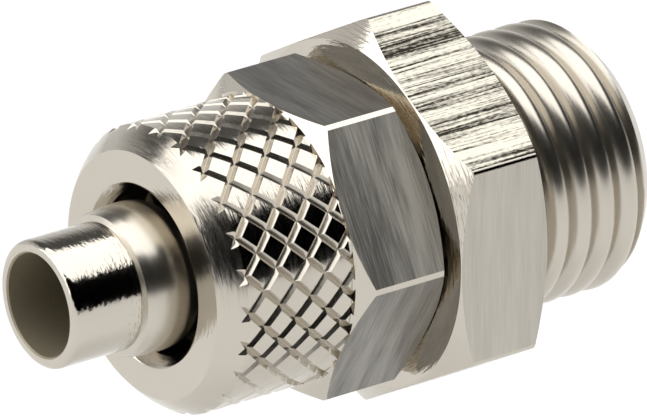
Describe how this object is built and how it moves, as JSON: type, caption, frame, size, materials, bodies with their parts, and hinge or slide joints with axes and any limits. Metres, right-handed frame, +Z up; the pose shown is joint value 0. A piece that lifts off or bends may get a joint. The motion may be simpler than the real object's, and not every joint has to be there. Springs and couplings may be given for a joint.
{
  "type": "straight threaded hose fitting",
  "caption": "Straight push-on hose fitting: hexagon body with a male port thread, a bulged hose spigot and a knurled union nut.",
  "frame": {"origin": "on the fitting's axis, in the plane of the shoulder that seals on the port", "axes": "+X along the axis and out through the port thread, +Z up through a corner of the body hexagon, +Y across"},
  "size_m": [0.0311, 0.017, 0.0196],
  "materials": {
    "nickel_plate": "bright nickel plate on turned brass",
    "nickel_plate_knurled": "bright nickel plate on knurled brass"
  },
  "bodies": {
    "body": {"fitting_body": "nickel_plate"},
    "nut": {"union_nut": "nickel_plate_knurled"}
  },
  "joints": [
    {"name": "nut_slide", "type": "slide", "parent": "body", "child": "nut", "axis": [-1, 0, 0], "range_m": [0, 0.02]}
  ]
}
